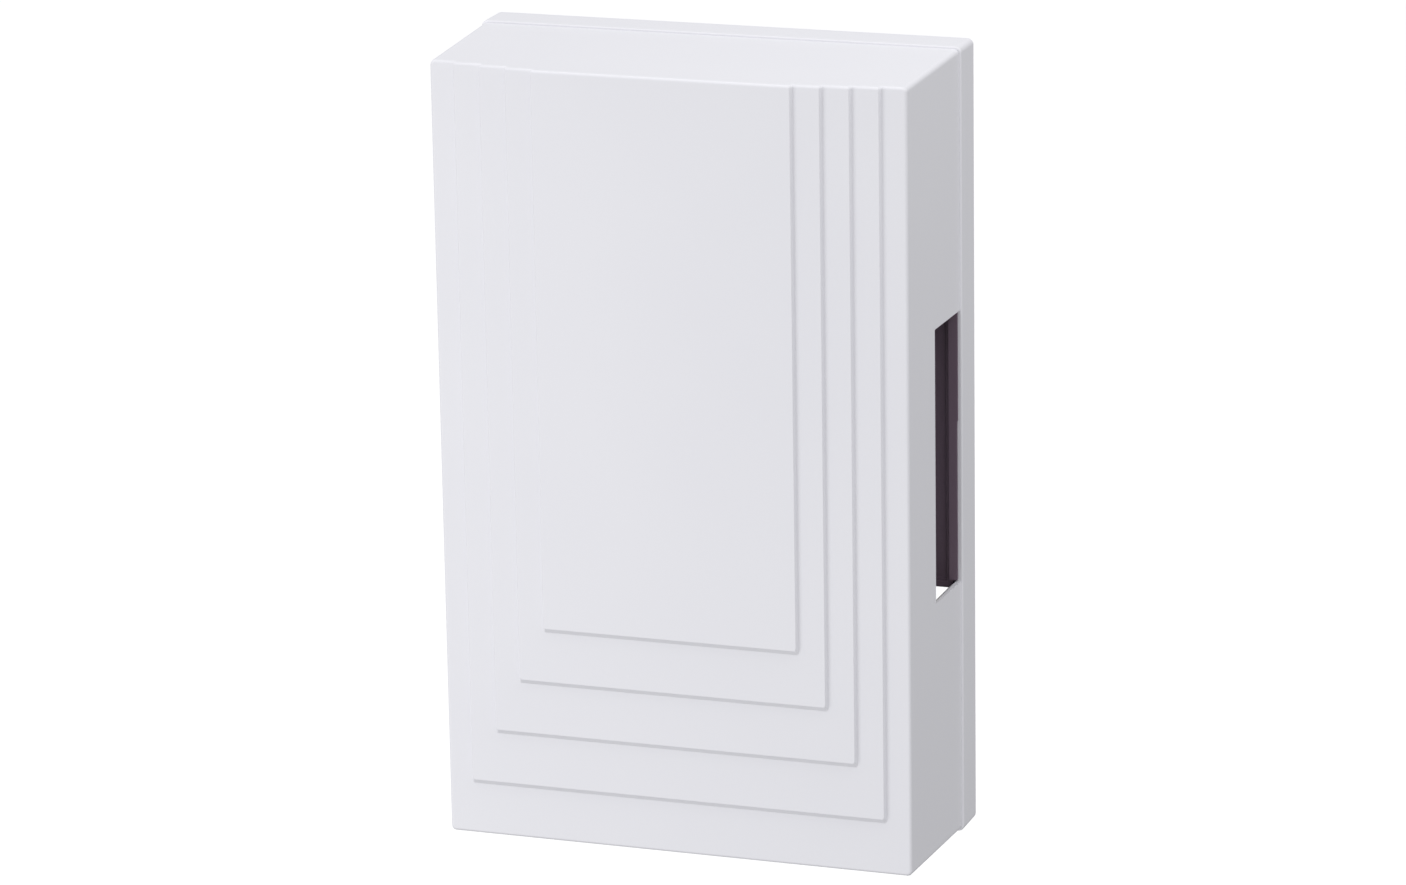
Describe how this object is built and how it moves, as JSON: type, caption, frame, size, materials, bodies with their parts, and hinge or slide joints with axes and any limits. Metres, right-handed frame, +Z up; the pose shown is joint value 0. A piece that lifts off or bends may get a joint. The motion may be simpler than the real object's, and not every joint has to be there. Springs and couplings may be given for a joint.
{
  "type": "two-tone door chime",
  "caption": "Wall-mounted mechanical two-tone door chime: white cover with a stepped U-shaped front and side sound slots, solenoid plunger striking a tone bar on each side.",
  "frame": {"origin": "centre of the tray's back face, where it lies on the wall", "axes": "+Y into the wall, +Z up, +X to the right as seen from the front"},
  "size_m": [0.084, 0.0375, 0.136],
  "materials": {
    "housing_plastic": "fine satin moulded ABS",
    "chassis_plastic": "as-moulded dark grey",
    "tone_steel": "ground and plated",
    "plated_steel": "zinc plated",
    "spring_steel": "drawn wire",
    "copper_wire": "enamelled copper",
    "brass": "drawn brass",
    "bobbin_nylon": "as-moulded black",
    "nylon": "natural nylon",
    "terminal_plastic": "as-moulded ivory",
    "rubber": "moulded",
    "lead_insulation": "extruded insulation"
  },
  "bodies": {
    "housing": {"rear_base": "housing_plastic", "chassis": "chassis_plastic", "yoke_frame": "plated_steel", "yoke_keeper": "plated_steel", "coil_bobbin": "bobbin_nylon", "coil_winding": "copper_wire", "guide_tube": "brass", "return_spring": "spring_steel", "terminal_block": "terminal_plastic", "coil_lead_1": "lead_insulation", "coil_lead_2": "lead_insulation", "tone_bar_left": "tone_steel", "grommet_left_lower": "rubber", "peg_cap_left_lower": "nylon", "grommet_left_upper": "rubber", "peg_cap_left_upper": "nylon", "tone_bar_right": "tone_steel", "grommet_right_lower": "rubber", "peg_cap_right_lower": "nylon", "grommet_right_upper": "rubber", "peg_cap_right_upper": "nylon", "clamp_plate_1": "brass", "terminal_screw_1": "brass", "clamp_plate_2": "brass", "terminal_screw_2": "brass", "clamp_plate_3": "brass", "terminal_screw_3": "brass", "block_screw_1": "plated_steel", "yoke_screw_1": "plated_steel", "block_screw_2": "plated_steel", "yoke_screw_2": "plated_steel", "chassis_screw_1": "plated_steel", "chassis_screw_2": "plated_steel", "chassis_screw_3": "plated_steel", "chassis_screw_4": "plated_steel"},
    "cover": {"front_cover": "housing_plastic"},
    "plunger": {"plunger_core": "plated_steel", "striker_tip_left": "nylon", "striker_tip_right": "nylon", "spring_collar": "nylon"}
  },
  "joints": [
    {"name": "cover_pull", "type": "slide", "parent": "housing", "child": "cover", "axis": [0, -1, 0], "range_m": [0, 0.045]},
    {"name": "plunger_strike", "type": "slide", "parent": "housing", "child": "plunger", "axis": [1, 0, 0], "range_m": [-0.0014, 0.0045], "stiffness_N_per_m": 60, "deforming": ["return_spring"]}
  ]
}
